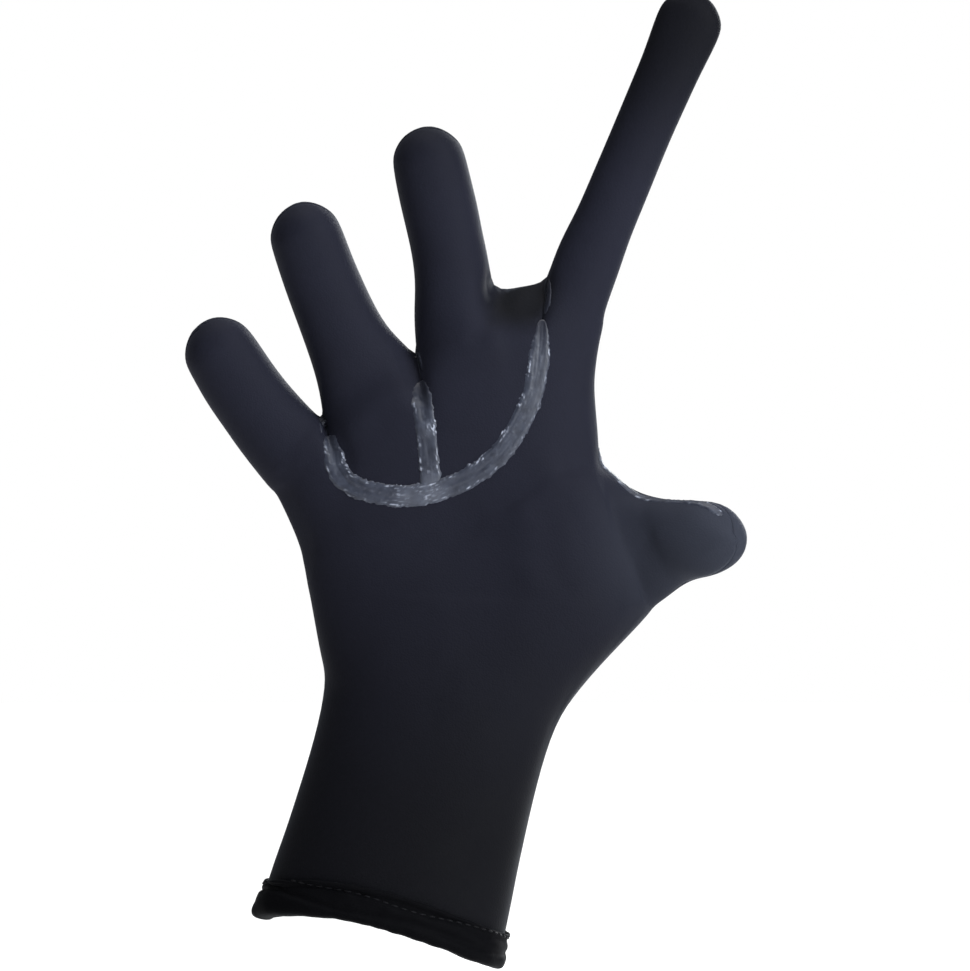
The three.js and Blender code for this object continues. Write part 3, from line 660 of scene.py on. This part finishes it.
OTHER_BANK_SHIFT = 20
LIP_PLACE, LIP_WIDTH = 0.84, 0.13
LIP_OUTER, LIP_INNER = 0.9, 1.5
BEAD_SHINE, LUMP_SHINE = 2.6, 0.5
POOL_SHINE, POOL_SPECK_SHINE, POOL_SPECK_RISE = 0.1, 1.5, 2
RELIEF_END, RELIEF_FADE = 1.15, 5
END_STUB = 0.0004
END_HEIGHT = 0.2
END_WEAR = 0.45


def nearness(place, centre, radius):
    """How near a place is to a centre, from 1 there down to 0 past about twice the radius."""
    return math.exp(-(((place - Vector(centre)).length / radius) ** 2))


def strip_surface(frames, k, side, reach):
    """The skin's place and normal under the strip's grid, k steps along it and side to one side."""
    place, _, tangent = frames[k]
    nearby = [frames[i][1] for i in range(max(0, k - NORMAL_SPAN), min(len(frames), k + NORMAL_SPAN + 1))]
    normal = sum(nearby, Vector()).normalized()
    across = normal.cross(tangent).normalized()
    hit, facing, _, _ = skin_tree.ray_cast(place + across * side + normal * PROBE_HEIGHT, -normal)
    if hit is None or (hit - place).length > reach * PROBE_MISS:
        return place + across * side - normal * MISS_DEPTH, normal
    return hit, facing


def sealant_strip(name, node, route, half_width, thickness, seed, ends=(0.004, 0.004), pools=(), thin=()):
    """A brushed strip: a fine grid laid over the skin, proud of it inside its ragged edges and under it
    outside. ends are the lengths over which it narrows, pools are drops and thin are worn places."""
    spots = along_route(route)
    last = len(spots) - 1
    reach = half_width * REACH
    frames = []
    for k, spot in enumerate(spots):
        place, normal, _, _ = skin_tree.find_nearest(spot)
        tangent = spots[min(k + TANGENT_SPAN, last)] - spots[max(k - TANGENT_SPAN, 0)]
        frames.append((place, normal, tangent))
    strip = bmesh.new()
    crust_gloss_and_painted_highlight = strip.verts.layers.float.new("crust_gloss_and_painted_highlight")
    film = strip.verts.layers.float.new("film")
    across_cells = round(2 * reach / ACROSS_STEP)
    bmesh.ops.create_grid(strip, x_segments=last, y_segments=across_cells, size=1)
    for vertex in strip.verts:
        k = round((vertex.co.x + 1) / 2 * last)
        side = vertex.co.y * reach
        hit, facing = strip_surface(frames, k, side, reach)
        s = k * ALONG_STEP * MM
        d = side * MM
        bank = 0 if side > 0 else OTHER_BANK_SHIFT
        from_start = (k * ALONG_STEP + END_STUB) / ends[0]
        from_end = ((last - k) * ALONG_STEP + END_STUB) / ends[1]
        close = min(from_start, from_end, 1)
        ragged = 0
        for row in RAGGED_EDGES:
            ragged += row["amount"] * noise.noise((s * row["rate"], seed, bank + row["shift"]))
        share = abs(side) / (half_width * (1 + ragged) * math.sqrt(close))
        streaks = 0
        for row in STREAKS:
            spot = (s * row["rate_along"], d * row["rate_across"], seed)
            streaks += row["amount"] * noise.noise(spot)
        patch = max(0, noise.noise((s * PATCH_RATE, seed, bank + PATCH_SHIFT)) - PATCH_FLOOR)
        spot = (s * SPECK_RATE_ALONG, d * SPECK_RATE_ACROSS, seed + SPECK_SHIFT)
        speck = max(0, noise.noise(spot) - SPECK_FLOOR) * min(1, patch * PATCH_STRENGTH)
        lip = math.exp(-(((share - LIP_PLACE) / LIP_WIDTH) ** 2))
        bead = lip * speck * (LIP_OUTER if side < 0 else LIP_INNER)
        spot = (s * LUMP_RATE, d * LUMP_RATE, seed + LUMP_SHIFT)
        lump = LUMP_AMOUNT * max(0, noise.noise(spot) - LUMP_FLOOR)
        shine = bead * BEAD_SHINE + lump * LUMP_SHINE
        height = thickness * (END_HEIGHT + (1 - END_HEIGHT) * close) * (1 - share**6)
        relief = min(1, max(0, RELIEF_END - share) * RELIEF_FADE)
        height += (streaks + bead + lump) / MM * relief
        for centre, radius, rise in pools:
            pooled = nearness(hit, centre, radius)
            height += rise * pooled * (1 + POOL_SPECK_RISE * speck)
            shine += pooled * (POOL_SHINE + POOL_SPECK_SHINE * speck)
        worn = END_WEAR * (1 - close)
        for centre, radius, amount in thin:
            worn += amount * nearness(hit, centre, radius)
        # Painted highlight: this mask gives the beads, lumps and pools a pale colour as well as a lower
        # roughness
        vertex[crust_gloss_and_painted_highlight] = min(1, shine)
        vertex[film] = min(1, max(0, worn))
        vertex.co = hit + facing * max(height, -UNDER_SKIN)
    bottom = bmesh.ops.extrude_face_region(strip, geom=strip.faces[:])
    for item in bottom["geom"]:
        if isinstance(item, bmesh.types.BMVert):
            near, facing, _, _ = skin_tree.find_nearest(item.co)
            item.co = near - facing * ROOT_DEPTH
    bmesh.ops.recalc_face_normals(strip, faces=strip.faces)
    piece = smooth_object(name, strip, sealant)
    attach(piece, "root")
    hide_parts(node)


# The rubber's colour: smeared greys, a painted highlight in pale grey where it stands up in beads, lumps
# and pools, which are also glossier, and dark where it is a film
SMEAR_LOW, SMEAR_HIGH = 0.32, 0.78
sealant = bpy.data.materials.new("sealant")
sealant.use_nodes = True
sealant_tree = sealant.node_tree
sealant_shader = sealant_tree.nodes["Principled BSDF"]
sealant_shader.inputs["Specular IOR Level"].default_value = 0.2
sealant_place = sealant_tree.nodes.new("ShaderNodeTexCoord")
smear = sealant_tree.nodes.new("ShaderNodeTexNoise")
smear.inputs["Scale"].default_value = 330
smear.inputs["Detail"].default_value = 6
sealant_tree.links.new(sealant_place.outputs["Object"], smear.inputs["Vector"])
greys = sealant_tree.nodes.new("ShaderNodeValToRGB")
greys.color_ramp.elements[0].position = SMEAR_LOW
greys.color_ramp.elements[0].color = (0.0105, 0.0122, 0.0195, 1)
greys.color_ramp.elements[1].position = SMEAR_HIGH
greys.color_ramp.elements[1].color = (0.025, 0.029, 0.0425, 1)
sealant_tree.links.new(smear.outputs["Fac"], greys.inputs["Fac"])
masks = {}
for layer in ("crust_gloss_and_painted_highlight", "film"):
    mask = sealant_tree.nodes.new("ShaderNodeAttribute")
    mask.attribute_name = layer
    masks[layer] = mask.outputs["Fac"]
crust_with_painted_highlight = mixed(sealant_tree, masks["crust_gloss_and_painted_highlight"], greys.outputs["Color"], (0.26, 0.28, 0.34))
filmed = mixed(sealant_tree, masks["film"], crust_with_painted_highlight, (0.009, 0.01, 0.016))
sealant_tree.links.new(filmed, sealant_shader.inputs["Base Color"])
set_between(sealant_tree, masks["crust_gloss_and_painted_highlight"], 0.46, 0.2, sealant_shader.inputs["Roughness"])
bump_up(sealant_tree, smear.outputs["Fac"], 0.5, 0.00015)

sealant_strip(
    "palm_sealant",
    "palm_seam_seal",
    PALM_STRIP,
    half_width=0.0035,
    thickness=0.0005,
    seed=1,
    ends=(0.010, 0.012),
    pools=[((0.0165, -0.017, 0.1445), 0.0045, 0.0005), ((0.009, -0.0165, 0.1432), 0.003, 0.0002)],
    thin=[((0.0531, -0.01, 0.2005), 0.008, 0.7), ((-0.0165, -0.008, 0.163), 0.005, 0.3)],
)
sealant_strip(
    "finger_sealant",
    "finger_seam_seal",
    FINGER_STRIP,
    half_width=0.0033,
    thickness=0.0005,
    seed=5,
    ends=(0.006, 0.002),
    pools=[((0.0163, -0.0168, 0.165), 0.0022, 0.0006), ((0.017, -0.0168, 0.148), 0.003, 0.0003)],
    thin=[((0.0137, -0.0125, 0.179), 0.0085, 0.95), ((0.0167, -0.0168, 0.157), 0.0035, 0.3)],
)
sealant_strip(
    "thumb_sealant",
    "thumb_seam_seal",
    THUMB_STRIP,
    half_width=0.0015,
    thickness=0.0004,
    seed=11,
)
sealant_strip(
    "little_gap_sealant",
    "little_gap_seal",
    LITTLE_GAP,
    half_width=0.0009,
    thickness=0.0002,
    seed=17,
    thin=[((-0.0184, 0, 0.169), 0.02, 0.75)],
)
sealant_strip(
    "ring_gap_sealant",
    "ring_gap_seal",
    RING_GAP,
    half_width=0.0009,
    thickness=0.0002,
    seed=19,
    thin=[((0.0119, 0, 0.19), 0.02, 0.6)],
)
sealant_strip(
    "middle_gap_sealant",
    "middle_gap_seal",
    MIDDLE_GAP,
    half_width=0.0012,
    thickness=0.0002,
    seed=23,
    thin=[((0.0535, 0, 0.2138), 0.04, 1)],
)


# The stage: a wide pale floor well below the glove, in a studio whose walls look white but throw
# little light back, as a black glove on a white ground needs.
FLOOR_DROP = 0.16
FLOOR_RADIUS = 8
floor_shape = bmesh.new()
bmesh.ops.create_circle(floor_shape, cap_ends=True, segments=96, radius=FLOOR_RADIUS)
bmesh.ops.translate(floor_shape, verts=floor_shape.verts, vec=(0, 0, -FLOOR_DROP))
floor_material = bpy.data.materials.new("floor")
floor_material.use_nodes = True
floor_shader = floor_material.node_tree.nodes["Principled BSDF"]
floor_shader.inputs["Base Color"].default_value = (0.9, 0.9, 0.9, 1)
floor_shader.inputs["Roughness"].default_value = 0.9
floor = smooth_object("floor", floor_shape, floor_material)

world = bpy.data.worlds.new("studio")
world.use_nodes = True
backdrop, world_links = world.node_tree.nodes["Background"], world.node_tree.links
backdrop.inputs["Color"].default_value = (1, 1, 1, 1)
ray = world.node_tree.nodes.new("ShaderNodeLightPath")
brightness = world.node_tree.nodes.new("ShaderNodeMapRange")
brightness.inputs["To Min"].default_value = 0.12
brightness.inputs["To Max"].default_value = 1
world_links.new(ray.outputs["Is Camera Ray"], brightness.inputs["Value"])
world_links.new(brightness.outputs["Result"], backdrop.inputs["Strength"])
bpy.context.scene.world = world
bpy.context.scene.view_settings.view_transform = "Standard"


# The lights: a soft key and a weaker fill from the right, a light behind the glove for its back, and a
# broad overhead light that whitens the floor.
def soft_light(name, place, aim, size, power, colour):
    """A square lamp at a place, turned towards the point that it lights."""
    data = bpy.data.lights.new(name, "AREA")
    data.size = size
    data.energy = power
    data.color = colour
    light = bpy.data.objects.new(name, data)
    light.location = place
    light.rotation_euler = (Vector(aim) - Vector(place)).to_track_quat("-Z", "Y").to_euler()
    bpy.context.scene.collection.objects.link(light)


soft_light("key", (1.3, -1.15, 0.95), (0.05, 0, 0.18), 0.9, 66, (0.93, 0.97, 1))
soft_light("fill", (1.2, -1.3, -0.15), (0.08, 0, 0.14), 0.7, 22, (0.93, 0.97, 1))
soft_light("back", (1.1, 1.7, 0.8), (0.03, 0, 0.15), 1, 45, (0.95, 0.98, 1))

overhead_data = bpy.data.lights.new("overhead", "SUN")
overhead_data.energy = 3.9
overhead_data.angle = math.radians(50)
overhead = bpy.data.objects.new("overhead", overhead_data)
bpy.context.scene.collection.objects.link(overhead)
